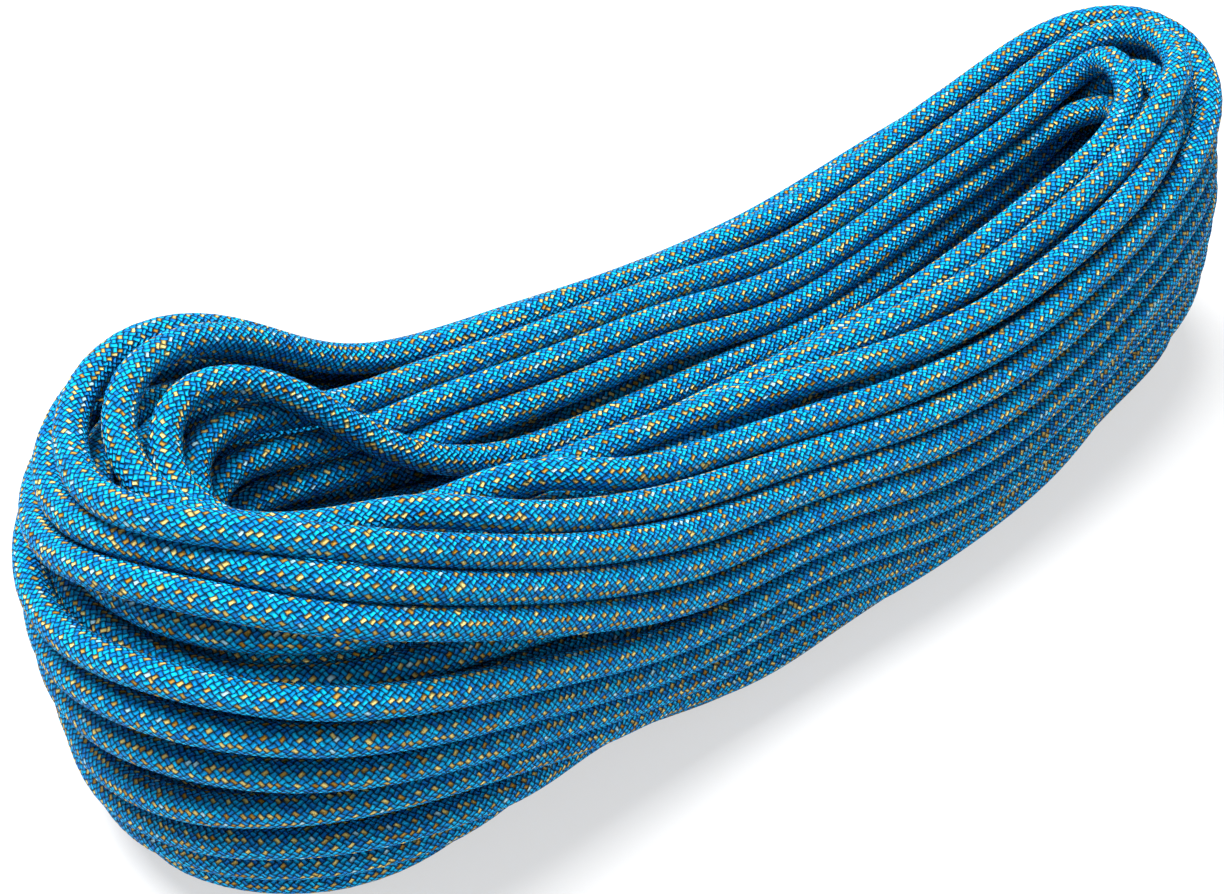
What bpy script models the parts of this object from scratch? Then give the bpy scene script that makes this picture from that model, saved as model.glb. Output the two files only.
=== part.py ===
"""A dynamic climbing rope, put away as a long oval hank lying on one side.

The rope is one braided sheath over twelve core strands.  Its 22 outer turns are one unbroken
tube.  The turns inside them are stood for by one closed ring.  The two ends of the rope leave
the outer turns low on the far side, lie along the ground behind the hank, and are built up
the way the rope is made: hollow sheath, core strands, melted tip and shrunk end sleeve.

Frame: +X to the tight end of the hank, +Y to its far side, +Z up, ground at z = 0.
"""
import math

import bmesh
import bpy
import numpy as np
from mathutils import Vector

# ---------------------------------------------------------------- driving sizes, in metres
ROPE_DIAMETER = 0.0098
SHEATH_WALL = 0.00095
FIT_GAP = 0.0003              # between pieces that touch on the real rope
GROUND_CUT = 0.00098          # depth of the flat on which the faceted turns stand

HANK_HALF = 0.1645            # from the middle to the centre of either end bend
LEFT_BEND = 0.0527            # radius of the wide end, on the middle of its wall
RIGHT_BEND = 0.0316           # radius of the tight end
WAIST_NEAR = 0.0039           # how far the near run is drawn in at the waist
WAIST_FAR = 0.0108
WAIST_NEAR_SHIFT = -0.46      # to which end the waist lies, as a share
WAIST_FAR_SHIFT = -1.83
BOW = 0.0080                  # both runs bow towards the near side
BOW_SKEW = 0.0021

# wall of the hank where it crosses each run and each end: half its thickness, half its
# height (both on the rope's centre line), its lean per metre of height, and its squareness,
# where 2 is an ellipse
WALL_FAR = (0.0316, 0.0456, 0.00, 2.0)
WALL_LEFT = (0.0270, 0.0679, -0.04, 2.1)
WALL_NEAR = (0.0273, 0.0475, -0.13, 2.0)
WALL_RIGHT = (0.0143, 0.0601, 0.00, 2.6)

MAX_TURNS = 24
TURN_SPACING = 1.055          # least centre distance of two turns, in rope diameters
TURN_POINTS = 24
SEAM_PLACE = 0.15             # where the first turn starts, as a share round the wall
FOOT_SETTLE = 0.0018          # turns this close to the ground have sunk onto it
SEAM_CLOSING = 0.85           # of the free place at the seam, what closes up opposite it

# turns pulled out of line at the wide end: turn from the top rim, lift, push outwards
PROUD_TURNS = ((0, 0.0060, -0.0040), (1, 0.0095, 0.0010))
RIM_PLACE = 0.56
PROUD_PHASE = 0.37
PROUD_REACH = 0.17

CORE_INSET = 0.0063           # from the outer turns' centre line to the inner turns' ring

TAIL_A_LENGTH = 0.150         # along the hank's far run, towards the tight end
TAIL_B_LENGTH = 0.140         # towards the wide end
TAIL_CLEAR = 0.0030           # from the hank's side to the tail beside it
TAIL_POINTS = 9
CORE_INNER_STRANDS = 3
CORE_OUTER_STRANDS = 9
SLEEVE_LENGTH = 0.034
SLEEVE_WALL = 0.0005
TIP_LENGTH = 0.0050
TIP_ROUND = 0.0014

ROPE_RADIUS = ROPE_DIAMETER / 2
BORE_RADIUS = ROPE_RADIUS - SHEATH_WALL
SLEEVE_RADIUS = ROPE_RADIUS + FIT_GAP + SLEEVE_WALL


# ---------------------------------------------------------------- scene and materials
def empty_scene():
    for item in list(bpy.data.objects):
        bpy.data.objects.remove(item, do_unlink=True)


def new_collection(name):
    collection = bpy.data.collections.new(name)
    bpy.context.scene.collection.children.link(collection)
    return collection


def new_material(name, colour, roughness):
    material = bpy.data.materials.new(name)
    material.use_nodes = True
    shader = material.node_tree.nodes["Principled BSDF"]
    shader.inputs["Base Color"].default_value = (*colour, 1.0)
    shader.inputs["Roughness"].default_value = roughness
    shader.inputs["Metallic"].default_value = 0.0
    material.diffuse_color = (*colour, 1.0)
    return material


# ---------------------------------------------------------------- plan line of the hank
def oval(phase):
    """A point of the plain oval: far run, wide end, near run, tight end, far run."""
    left_arc = math.pi * LEFT_BEND
    right_arc = math.pi * RIGHT_BEND
    way = (phase % 1.0) * (4 * HANK_HALF + left_arc + right_arc)

    def half_width(x):
        return LEFT_BEND + (RIGHT_BEND - LEFT_BEND) * (x + HANK_HALF) / (2 * HANK_HALF)

    if way < HANK_HALF:
        return -way, half_width(-way)
    way -= HANK_HALF
    if way < left_arc:
        angle = way / LEFT_BEND
        return -HANK_HALF - LEFT_BEND * math.sin(angle), LEFT_BEND * math.cos(angle)
    way -= left_arc
    if way < 2 * HANK_HALF:
        x = way - HANK_HALF
        return x, -half_width(x)
    way -= 2 * HANK_HALF
    if way < right_arc:
        angle = way / RIGHT_BEND
        return HANK_HALF + RIGHT_BEND * math.sin(angle), -RIGHT_BEND * math.cos(angle)
    x = HANK_HALF - (way - right_arc)
    return x, half_width(x)


def eased_oval(phase):
    """The oval with its curvature spread into the runs, as a stiff rope lies."""
    steps = np.linspace(-1.0, 1.0, 9)
    shares = 1 + np.cos(0.9 * math.pi * steps)
    spread = 0.035
    points = np.array([oval(phase + spread * step) for step in steps])
    return shares @ points / shares.sum()


HANK_REACH = HANK_HALF + (LEFT_BEND + RIGHT_BEND) / 2


def plan_point(phase):
    x, y = eased_oval(phase)
    along = max(-1.1, min(1.1, x / HANK_REACH))
    inner = max(0.0, 1 - along * along)
    far = 0.5 * (1 + math.tanh(y / 0.014))
    waist_near = WAIST_NEAR * (1 + WAIST_NEAR_SHIFT * along)
    waist_far = WAIST_FAR * (1 + WAIST_FAR_SHIFT * along)
    y += inner * inner * (waist_near * (1 - far) - waist_far * far)
    y -= BOW * (1 - along * along) + BOW_SKEW * along * (1 - along * along)
    return x, y


def plan_frame(phase):
    """A plan point with the unit normal that points out of the hank."""
    step = 0.002
    x, y = plan_point(phase)
    x1, y1 = plan_point(phase + step)
    x0, y0 = plan_point(phase - step)
    length = math.hypot(x1 - x0, y1 - y0)
    return x, y, (y1 - y0) / length, -(x1 - x0) / length


# ---------------------------------------------------------------- wall of the hank
def smooth(value):
    value = max(0.0, min(1.0, value))
    return value * value * (3 - 2 * value)


def wall_shares(phase):
    """How much of each station's wall holds at this phase: far, left, near, right."""
    x, y = eased_oval(phase)
    along = x / HANK_REACH
    left = smooth((-along - 0.1) / 0.85)
    right = smooth((along - 0.1) / 0.85)
    far = 0.5 * (1 + math.tanh(y / 0.016))
    rest = 1 - left - right
    return rest * far, left, rest * (1 - far), right


WALLS = np.array([WALL_FAR, WALL_LEFT, WALL_NEAR, WALL_RIGHT])


def wall_outline(phase, inset=0.0, steps=240):
    """Offsets and heights round the wall, from its foot outwards and over the top."""
    half_thick, half_high, lean, squareness = np.array(wall_shares(phase)) @ WALLS
    angles = np.linspace(0.0, 2 * math.pi, steps + 1)
    sines = np.sin(angles)
    cosines = np.cos(angles)
    power = 2 / squareness
    rise = -(half_high - inset) * np.sign(cosines) * np.abs(cosines) ** power
    out = (half_thick - inset) * np.sign(sines) * np.abs(sines) ** power + lean * rise
    return out, rise + half_high


def way_round(out, height):
    return np.concatenate([[0.0], np.cumsum(np.hypot(np.diff(out), np.diff(height)))])


def wall_point(phase, place):
    """Offset out of the plan line and height, for a place round the wall."""
    out, height = wall_outline(phase)
    way = way_round(out, height)
    target = (place % 1.0) * way[-1]
    return np.interp(target, way, out), np.interp(target, way, height)


def count_slots():
    """Places for turns round the wall where it is shortest."""
    shortest = min(way_round(*wall_outline(phase))[-1] for phase in np.linspace(0, 1, 61))
    return min(MAX_TURNS, int(shortest / (TURN_SPACING * ROPE_DIAMETER)))


TURN_SLOTS = count_slots()
OUTER_TURNS = TURN_SLOTS - 1


def turn_place(turn):
    """Place round the wall after so many turns; the free slot closes up opposite the seam."""
    closing = SEAM_CLOSING * (0.5 - 0.5 * math.cos(2 * math.pi * turn))
    return SEAM_PLACE + turn / (TURN_SLOTS - closing)


def proud_shift(turn):
    """Extra height and outward push of the few turns that stand proud at the wide end."""
    lift = 0.0
    push = 0.0
    place = turn_place(turn)
    nearness = smooth(1 - abs(turn % 1.0 - PROUD_PHASE) / PROUD_REACH)
    for order, most_lift, most_push in PROUD_TURNS:
        rim = RIM_PLACE - order / TURN_SLOTS
        share = max(0.0, 1 - abs(place - rim) * TURN_SLOTS) * nearness
        lift += share * most_lift
        push += share * most_push
    return lift, push


def settled(height):
    """Height of a turn once the lowest turns lie on the ground."""
    return height - min(height, FOOT_SETTLE) * (1 - smooth(height / (3 * FOOT_SETTLE) - 1 / 3))


def turn_point(turn):
    """Centre of the rope after so many turns of the winding."""
    x, y, normal_x, normal_y = plan_frame(turn)
    out, height = wall_point(turn, turn_place(turn))
    lift, push = proud_shift(turn)
    out += push
    level = settled(height) + lift + ROPE_RADIUS - GROUND_CUT
    return Vector((x + normal_x * out, y + normal_y * out, level))


def turn_phases():
    """Phases of one turn's points, closer together round the two ends."""
    fine = np.linspace(0.0, 1.0, 721)
    line = np.array([plan_point(phase) for phase in fine])
    steps = np.diff(line, axis=0)
    length = np.hypot(steps[:, 0], steps[:, 1])
    heading = np.unwrap(np.arctan2(steps[:, 1], steps[:, 0]))
    bend = np.abs(np.diff(heading, append=heading[-1]))
    weight = length / length.sum() + 0.8 * bend / bend.sum()
    way = np.concatenate([[0.0], np.cumsum(weight)])
    return np.interp(np.linspace(0.0, way[-1], TURN_POINTS + 1)[:-1], way, fine)


# ---------------------------------------------------------------- makers
def tube(name, points, radius, sides_level, collection, caps=True):
    """A round tube along points, as a curve with a bevel."""
    curve = bpy.data.curves.new(name, "CURVE")
    curve.dimensions = "3D"
    curve.twist_mode = "Z_UP"
    curve.bevel_depth = radius
    curve.bevel_resolution = sides_level
    curve.use_fill_caps = caps
    spline = curve.splines.new("POLY")
    spline.points.add(len(points) - 1)
    for slot, point in zip(spline.points, points):
        slot.co = (*point, 1.0)
    curve.render_resolution_u = curve.resolution_u
    item = bpy.data.objects.new(name, curve)
    collection.objects.link(item)
    return item


def as_mesh(item, collection):
    """A curve object made into a welded mesh object of the same name."""
    bpy.context.view_layer.update()
    graph = bpy.context.evaluated_depsgraph_get()
    mesh = bpy.data.meshes.new_from_object(item.evaluated_get(graph))
    work = bmesh.new()
    work.from_mesh(mesh)
    bmesh.ops.remove_doubles(work, verts=work.verts, dist=1e-6)
    bmesh.ops.recalc_face_normals(work, faces=work.faces)
    work.to_mesh(mesh)
    work.free()
    name = item.name
    place = item.matrix_world.copy()
    bpy.data.objects.remove(item, do_unlink=True)
    solid = bpy.data.objects.new(name, mesh)
    solid.matrix_world = place
    collection.objects.link(solid)
    mesh.shade_smooth()
    return solid


def paint(item, material):
    item.data.materials.clear()
    item.data.materials.append(material)


def ground_cutter(collection):
    """A slab below the ground, which takes the foot of the lowest turns flat."""
    bpy.ops.mesh.primitive_cube_add(size=1.0, location=(0.0, 0.0, -0.02))
    slab = bpy.context.active_object
    slab.name = "ground_cutter"
    slab.dimensions = (1.0, 0.6, 0.04)
    bpy.ops.object.transform_apply(location=False, rotation=False, scale=True)
    for owner in list(slab.users_collection):
        owner.objects.unlink(slab)
    collection.objects.link(slab)
    slab.hide_render = True
    slab.display_type = "WIRE"
    return slab


# ---------------------------------------------------------------- outer turns
def outer_points():
    """The winding's centre line, straight for one diameter at both ends."""
    phases = turn_phases()
    turns = [turn + phase for turn in range(OUTER_TURNS) for phase in phases]
    turns.append(float(OUTER_TURNS))
    points = [turn_point(turn) for turn in turns]
    start, end = seam_ends()
    first_way = (turn_point(0.004) - start).normalized()
    last_way = (end - turn_point(OUTER_TURNS - 0.004)).normalized()
    points[0] = start
    points.insert(1, start + first_way * ROPE_DIAMETER)
    points[-1] = end - last_way * ROPE_DIAMETER
    points.append(end)
    return points


def seam_ends():
    return turn_point(0.0), turn_point(float(OUTER_TURNS))


def least_self_gap(points):
    """Least distance between the surfaces of two stretches of the winding."""
    line = []
    for start, end in zip(points, points[1:]):
        count = max(1, int((end - start).length / 0.004))
        line.extend(start.lerp(end, step / count) for step in range(count))
    line = np.array(line)
    step_length = np.linalg.norm(np.diff(line, axis=0), axis=1)
    way = np.concatenate([[0.0], np.cumsum(step_length)])
    least = 1.0
    for index in range(len(line)):
        apart = way - way[index] > 4 * ROPE_DIAMETER
        if apart.any():
            distance = np.linalg.norm(line[apart] - line[index], axis=1).min()
            least = min(least, distance)
    return least - ROPE_DIAMETER, way[-1]


def make_outer_turns(parts, cutters, material):
    points = outer_points()
    gap, length = least_self_gap(points)
    print(f"outer turns: {OUTER_TURNS}, length {length:.2f} m, least gap {gap * 1000:.2f} mm")
    turns = as_mesh(tube("rope_outer_turns", points, ROPE_RADIUS, 1, parts), parts)
    cut = turns.modifiers.new("ground_flat", "BOOLEAN")
    cut.operation = "DIFFERENCE"
    cut.object = ground_cutter(cutters)
    paint(turns, material)


# ---------------------------------------------------------------- inner turns
def make_inner_turns(parts, material):
    """One closed ring with the outer shape of the turns inside the outer ones."""
    around = 16
    work = bmesh.new()
    rings = []
    for phase in turn_phases():
        x, y, normal_x, normal_y = plan_frame(phase)
        ring = []
        for out, height in list(zip(*wall_outline(phase, CORE_INSET, around)))[:-1]:
            level = height + ROPE_RADIUS - GROUND_CUT
            ring.append(work.verts.new((x + normal_x * out, y + normal_y * out, level)))
        rings.append(ring)
    for ring, following in zip(rings, rings[1:] + rings[:1]):
        for step in range(around):
            after = (step + 1) % around
            work.faces.new((ring[step], ring[after], following[after], following[step]))
    bmesh.ops.recalc_face_normals(work, faces=work.faces)
    mesh = bpy.data.meshes.new("rope_inner_turns")
    work.to_mesh(mesh)
    work.free()
    mesh.shade_smooth()
    core = bpy.data.objects.new("rope_inner_turns", mesh)
    parts.objects.link(core)
    paint(core, material)


# ---------------------------------------------------------------- rope ends
def tail_line(seam_turn, heading, length):
    """Centre line of one end: out of the winding, down, and along the ground."""
    run_phase = 1.0 / (4 * HANK_HALF + math.pi * (LEFT_BEND + RIGHT_BEND))
    ground = SLEEVE_RADIUS + FIT_GAP
    seam = turn_point(seam_turn)
    before = turn_point(seam_turn - heading * 0.004)
    way = (seam - before).normalized()
    points = [seam + way * FIT_GAP, seam + way * (ROPE_DIAMETER + FIT_GAP)]
    for step in range(2, TAIL_POINTS + 1):
        share = step / TAIL_POINTS
        turn = seam_turn + heading * run_phase * length * share
        held = turn_point(turn)
        x, y, normal_x, normal_y = plan_frame(turn)
        side = wall_point(turn, 0.25)[0] + ROPE_DIAMETER + TAIL_CLEAR
        beside = Vector((x + normal_x * side, y + normal_y * side, held.z))
        out_share = smooth((share - 0.04) / 0.50)
        down_share = smooth((share - 0.14) / 0.66)
        point = held.lerp(beside, out_share)
        point.z = held.z + (ground - held.z) * down_share
        points.append(point)
    last_way = points[-1] - points[-2]
    last_way.z = 0.0
    points[-1].z = ground
    end = points[-1] + last_way.normalized() * (SLEEVE_LENGTH + ROPE_DIAMETER)
    points.append(end)
    return points


def frames_along(points):
    """Unit side and up vectors at each point, for offsets from a tail's line."""
    frames = []
    for index, point in enumerate(points):
        before = points[max(index - 1, 0)]
        after = points[min(index + 1, len(points) - 1)]
        way = (after - before).normalized()
        side = way.cross(Vector((0, 0, 1))).normalized()
        frames.append((point, side, side.cross(way)))
    return frames


def make_sleeve_tube(name, points, outer_radius, wall, parts, material):
    """A thin tube open at both ends."""
    skin = as_mesh(tube(name, points, outer_radius, 4, parts, caps=False), parts)
    shell = skin.modifiers.new("wall", "SOLIDIFY")
    shell.thickness = wall
    shell.offset = -1.0
    shell.use_even_offset = True
    paint(skin, material)
    return skin


def core_ring_radii():
    """Strand radius and the two pitch radii that fill the sheath's bore."""
    room = BORE_RADIUS * math.cos(math.pi / 12) - 2 * FIT_GAP
    inner_share = 1 / math.sin(math.pi / CORE_INNER_STRANDS)
    # bore = inner pitch radius + two strand spacings + half a strand
    strand = (room - FIT_GAP * (inner_share / 2 + 1)) / (inner_share + 3)
    spacing = 2 * strand + FIT_GAP
    inner = spacing * inner_share / 2
    return strand, inner, inner + spacing


def make_core_strands(side_name, points, parts, materials):
    strand, inner, outer = core_ring_radii()
    frames = frames_along(points)
    rings = ((CORE_INNER_STRANDS, inner), (CORE_OUTER_STRANDS, outer))
    number = 0
    for count, pitch_radius in rings:
        for step in range(count):
            number += 1
            angle = 2 * math.pi * step / count
            line = []
            for point, side, up in frames:
                offset = side * math.cos(angle) + up * math.sin(angle)
                line.append(point + offset * pitch_radius)
            name = f"core_strand_{side_name}_{number:02d}"
            item = tube(name, line, strand, 1, parts)
            paint(item, materials[number % 2])


def make_tip(name, points, parts, material):
    """The melted end: a short plug with a rounded rim, square on the end of the sheath."""
    way = (points[-1] - points[-2]).normalized()
    centre = points[-1] + way * (FIT_GAP + TIP_LENGTH / 2)
    bpy.ops.mesh.primitive_cylinder_add(vertices=20, radius=ROPE_RADIUS, depth=TIP_LENGTH)
    tip = bpy.context.active_object
    tip.name = name
    tip.location = centre
    tip.rotation_euler = way.to_track_quat("Z", "Y").to_euler()
    rim = tip.modifiers.new("rim", "BEVEL")
    rim.width = TIP_ROUND
    rim.segments = 2
    rim.limit_method = "ANGLE"
    for owner in list(tip.users_collection):
        owner.objects.unlink(tip)
    parts.objects.link(tip)
    tip.data.shade_smooth()
    paint(tip, material)


def make_tail(side_name, seam_turn, heading, length, parts, looks):
    points = tail_line(seam_turn, heading, length)
    make_sleeve_tube(f"rope_end_{side_name}_sheath", points, ROPE_RADIUS, SHEATH_WALL,
                     parts, looks["sheath"])
    make_core_strands(side_name, points, parts, (looks["strand"], looks["strand_marked"]))
    make_tip(f"rope_end_{side_name}_melted_tip", points, parts, looks["tip"])
    way = (points[-1] - points[-2]).normalized()
    sleeve_end = points[-1] + way * (FIT_GAP + TIP_LENGTH * 0.4)
    sleeve_points = [sleeve_end - way * SLEEVE_LENGTH, sleeve_end]
    make_sleeve_tube(f"rope_end_{side_name}_sleeve", sleeve_points, SLEEVE_RADIUS,
                     SLEEVE_WALL, parts, looks["sleeve"])


# ---------------------------------------------------------------- the whole rope
def centre_on_origin(parts, cutters):
    """Move everything so that the middle of the rope's footprint is the origin."""
    bpy.context.view_layer.update()
    graph = bpy.context.evaluated_depsgraph_get()
    places = []
    for item in parts.objects:
        solid = item.evaluated_get(graph)
        places.extend(solid.matrix_world @ vertex.co for vertex in solid.to_mesh().vertices)
        solid.to_mesh_clear()
    spread = np.array(places)
    middle = (spread.min(axis=0) + spread.max(axis=0)) / 2
    for item in list(parts.objects) + list(cutters.objects):
        item.location.x -= middle[0]
        item.location.y -= middle[1]


def main():
    empty_scene()
    parts = new_collection("dynamic_climbing_rope")
    cutters = new_collection("cutters")
    cutters.hide_render = True
    looks = {
        "sheath": new_material("braided_sheath", (0.010, 0.190, 0.520), 0.60),
        "inner": new_material("shaded_sheath", (0.004, 0.070, 0.200), 0.70),
        "strand": new_material("core_yarn_white", (0.800, 0.800, 0.760), 0.75),
        "strand_marked": new_material("core_yarn_tinted", (0.560, 0.640, 0.680), 0.75),
        "tip": new_material("melted_polyamide", (0.012, 0.060, 0.140), 0.35),
        "sleeve": new_material("shrink_sleeve", (0.020, 0.020, 0.022), 0.40),
    }
    make_outer_turns(parts, cutters, looks["sheath"])
    make_inner_turns(parts, looks["inner"])
    make_tail("a", 0.0, -1, TAIL_A_LENGTH, parts, looks)
    make_tail("b", float(OUTER_TURNS), 1, TAIL_B_LENGTH, parts, looks)
    centre_on_origin(parts, cutters)


main()
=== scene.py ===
"""The climbing rope as it looks: one long braided tube laid in the turns of the hank.

Lengths are in metres.  The hank's plan line, its wall and the two ends repeat the part's.  The
outer turns climb round that wall, led in places along the strands of the photograph, and the
inner turns fill the room inside.  All turns are then eased apart like round ropes that touch.
"""
import math

import bpy
import numpy as np
from mathutils import Matrix, Vector
from mathutils.kdtree import KDTree


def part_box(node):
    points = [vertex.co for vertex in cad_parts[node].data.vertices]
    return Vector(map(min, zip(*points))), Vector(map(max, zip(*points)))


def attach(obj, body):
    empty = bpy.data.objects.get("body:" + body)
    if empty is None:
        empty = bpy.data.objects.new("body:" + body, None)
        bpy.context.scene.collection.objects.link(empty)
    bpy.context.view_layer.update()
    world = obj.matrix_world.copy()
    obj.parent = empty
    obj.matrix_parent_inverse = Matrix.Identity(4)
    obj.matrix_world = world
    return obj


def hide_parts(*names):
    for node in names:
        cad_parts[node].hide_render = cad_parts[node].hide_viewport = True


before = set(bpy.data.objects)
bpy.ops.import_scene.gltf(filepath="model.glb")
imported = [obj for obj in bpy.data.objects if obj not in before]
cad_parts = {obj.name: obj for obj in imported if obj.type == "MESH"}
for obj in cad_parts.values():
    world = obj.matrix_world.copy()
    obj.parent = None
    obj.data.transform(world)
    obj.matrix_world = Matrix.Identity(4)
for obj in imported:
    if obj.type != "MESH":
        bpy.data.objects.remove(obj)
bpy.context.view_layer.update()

# ---------------------------------------------------------------- sizes of the part, in metres
ROPE_DIAMETER = 0.0098
ROPE_RADIUS = ROPE_DIAMETER / 2
FIT_GAP = 0.0003
GROUND_CUT = 0.00098          # how flat the lowest turns lie on the ground
HANK_HALF = 0.1645            # half the length of the two runs
LEFT_BEND = 0.0527            # radius of the plan line at the loose end, and at the tight one
RIGHT_BEND = 0.0316
HANK_REACH = HANK_HALF + (LEFT_BEND + RIGHT_BEND) / 2
NORMAL_STEP = 0.002           # share of a turn either side of a point, for its normal
CORNER_EASE = 0.035           # share of a turn over which the plan line's corners are eased
CORNER_POINTS = 9
CORNER_TAPER = 0.9            # how far the weights fall off towards both ends of that stretch
ALONG_LIMIT = 1.1             # how far past the hank's reach the bow still counts
WAIST_NEAR = 0.0039           # how far the waist is drawn in, and where along the hank
WAIST_FAR = 0.0108
WAIST_NEAR_SHIFT = -0.46
WAIST_FAR_SHIFT = -1.83
WAIST_BLEND = 0.014           # width over which the near side's waist passes to the far side's
BOW = 0.0080
BOW_SKEW = 0.0021
# half thickness, half height, lean and squareness of the wall of turns
WALL_FAR = (0.0316, 0.0456, 0.00, 2.0)
WALL_LEFT = (0.0270, 0.0679, -0.04, 2.1)
WALL_NEAR = (0.0273, 0.0475, -0.13, 2.0)
WALL_RIGHT = (0.0143, 0.0601, 0.00, 2.6)
WALL_BLEND = 0.016            # width over which the near wall passes to the far one
END_START, END_SPAN = 0.1, 0.85   # shares of the reach over which a run passes to an end
TURN_SLOTS = 23               # outer turns that fit round the wall
OUTER_TURNS = 22
SEAM_PLACE = 0.15             # share of the way round the wall at which the first turn starts
SEAM_CLOSING = 0.85
# how many places round the wall a turn has moved, at each phase of the turn: up over the wide
# end, down along the near run, and a little up again round the tight end
TURN_DRIFT = ((0.0, -1.0), (0.10, -1.0), (0.20, 0.4), (0.36, 1.4), (0.62, -2.6), (0.84, -1.6),
              (1.0, -2.0))
TAIL_A_LENGTH = 0.150
TAIL_B_LENGTH = 0.140
TAIL_CLEAR = 0.0030
TAIL_POINTS = 9
SLEEVE_LENGTH = 0.034
SLEEVE_WALL = 0.0005
SLEEVE_RADIUS = ROPE_RADIUS + FIT_GAP + SLEEVE_WALL

# the camera that the hank was laid out with, in the part's own frame
FOCAL_PIXELS = 2000.0
FRAME_WIDTH = 1224
FRAME_HEIGHT = 894
CAMERA_PITCH = math.radians(45.42)
CAMERA_YAW = math.radians(54.21)
AIM_PIXEL = (728.84, 401.4)
AIM_DEPTH = 0.68255
AIM_HEIGHT = 0.054

PHASE_COUNT = 200             # steps of a turn
OUTLINE_STEPS = 240           # steps round a section of the wall
SLOPE_STEP = 0.01             # share of the way round either side of a place, for its slope


# ---------------------------------------------------------------- plan line of the hank
def oval(phase):
    """Point of the plain plan line: two runs that widen to the left, and two round ends."""
    left_arc = math.pi * LEFT_BEND
    right_arc = math.pi * RIGHT_BEND
    way = (phase % 1.0) * (4 * HANK_HALF + left_arc + right_arc)

    def half_width(x):
        return LEFT_BEND + (RIGHT_BEND - LEFT_BEND) * (x + HANK_HALF) / (2 * HANK_HALF)

    if way < HANK_HALF:
        return -way, half_width(-way)
    way -= HANK_HALF
    if way < left_arc:
        angle = way / LEFT_BEND
        return -HANK_HALF - LEFT_BEND * math.sin(angle), LEFT_BEND * math.cos(angle)
    way -= left_arc
    if way < 2 * HANK_HALF:
        x = way - HANK_HALF
        return x, -half_width(x)
    way -= 2 * HANK_HALF
    if way < right_arc:
        angle = way / RIGHT_BEND
        return HANK_HALF + RIGHT_BEND * math.sin(angle), -RIGHT_BEND * math.cos(angle)
    x = HANK_HALF - (way - right_arc)
    return x, half_width(x)


def eased_oval(phase):
    """The same line with its corners eased, as a weighted mean over a short stretch."""
    steps = np.linspace(-1.0, 1.0, CORNER_POINTS)
    shares = 1 + np.cos(CORNER_TAPER * math.pi * steps)
    points = np.array([oval(phase + CORNER_EASE * step) for step in steps])
    return shares @ points / shares.sum()


def plan_point(phase):
    """Point of the hank's plan line, drawn in at the waist and bowed."""
    x, y = eased_oval(phase)
    along = max(-ALONG_LIMIT, min(ALONG_LIMIT, x / HANK_REACH))
    inner = max(0.0, 1 - along * along)
    far = 0.5 * (1 + math.tanh(y / WAIST_BLEND))
    waist_near = WAIST_NEAR * (1 + WAIST_NEAR_SHIFT * along)
    waist_far = WAIST_FAR * (1 + WAIST_FAR_SHIFT * along)
    y += inner * inner * (waist_near * (1 - far) - waist_far * far)
    y -= BOW * (1 - along * along) + BOW_SKEW * along * (1 - along * along)
    return x, y


def plan_frame(phase):
    """Point of the plan line and its outward normal."""
    x, y = plan_point(phase)
    x1, y1 = plan_point(phase + NORMAL_STEP)
    x0, y0 = plan_point(phase - NORMAL_STEP)
    length = math.hypot(x1 - x0, y1 - y0)
    return x, y, (y1 - y0) / length, -(x1 - x0) / length


def smooth(value):
    """Eased step from 0 to 1."""
    value = max(0.0, min(1.0, value))
    return value * value * (3 - 2 * value)


def wall_shares(phase):
    """How much of each of the four wall sections counts at a phase."""
    x, y = eased_oval(phase)
    along = x / HANK_REACH
    left = smooth((-along - END_START) / END_SPAN)
    right = smooth((along - END_START) / END_SPAN)
    far = 0.5 * (1 + math.tanh(y / WALL_BLEND))
    rest = 1 - left - right
    return rest * far, left, rest * (1 - far), right


def outline(half_thick, half_high, lean, squareness):
    """Offsets and rises round a section of the wall, from its foot by the outer side."""
    angles = np.linspace(0.0, 2 * math.pi, OUTLINE_STEPS + 1)
    sines = np.sin(angles)
    cosines = np.cos(angles)
    power = 2 / squareness
    rise = -half_high * np.sign(cosines) * np.abs(cosines) ** power
    out = half_thick * np.sign(sines) * np.abs(sines) ** power + lean * rise
    return out, rise


def at_place(shape, place):
    """Offset and rise at a share of the way round an outline."""
    out, rise = shape
    way = np.concatenate([[0.0], np.cumsum(np.hypot(np.diff(out), np.diff(rise)))])
    target = (np.asarray(place) % 1.0) * way[-1]
    return np.interp(target, way, out), np.interp(target, way, rise)


WALLS = np.array([WALL_FAR, WALL_LEFT, WALL_NEAR, WALL_RIGHT])
FRAMES = np.array([plan_frame(step / PHASE_COUNT) for step in range(PHASE_COUNT)])
SHARES = np.array([wall_shares(step / PHASE_COUNT) for step in range(PHASE_COUNT)])
SIZES = SHARES @ WALLS
OUTLINES = [outline(*size) for size in SIZES]


def step_of(turn):
    """Step of the phase nearest to a turn number."""
    return int(round((turn % 1.0) * PHASE_COUNT)) % PHASE_COUNT


# ---------------------------------------------------------------- outer turns
def drift(phase):
    """Places round the wall moved since the start of the turn."""
    for start, end in zip(TURN_DRIFT, TURN_DRIFT[1:]):
        if phase <= end[0]:
            share = smooth((phase - start[0]) / (end[0] - start[0]))
            return start[1] + (end[1] - start[1]) * share
    return TURN_DRIFT[-1][1]


def outer_place(turn, drifting=True):
    """Share of the way round the wall at which an outer turn lies."""
    closing = SEAM_CLOSING * (0.5 - 0.5 * math.cos(2 * math.pi * turn))
    moved = drift(turn % 1.0) - math.floor(turn) if drifting else turn
    return SEAM_PLACE + moved / (TURN_SLOTS - closing)


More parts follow.
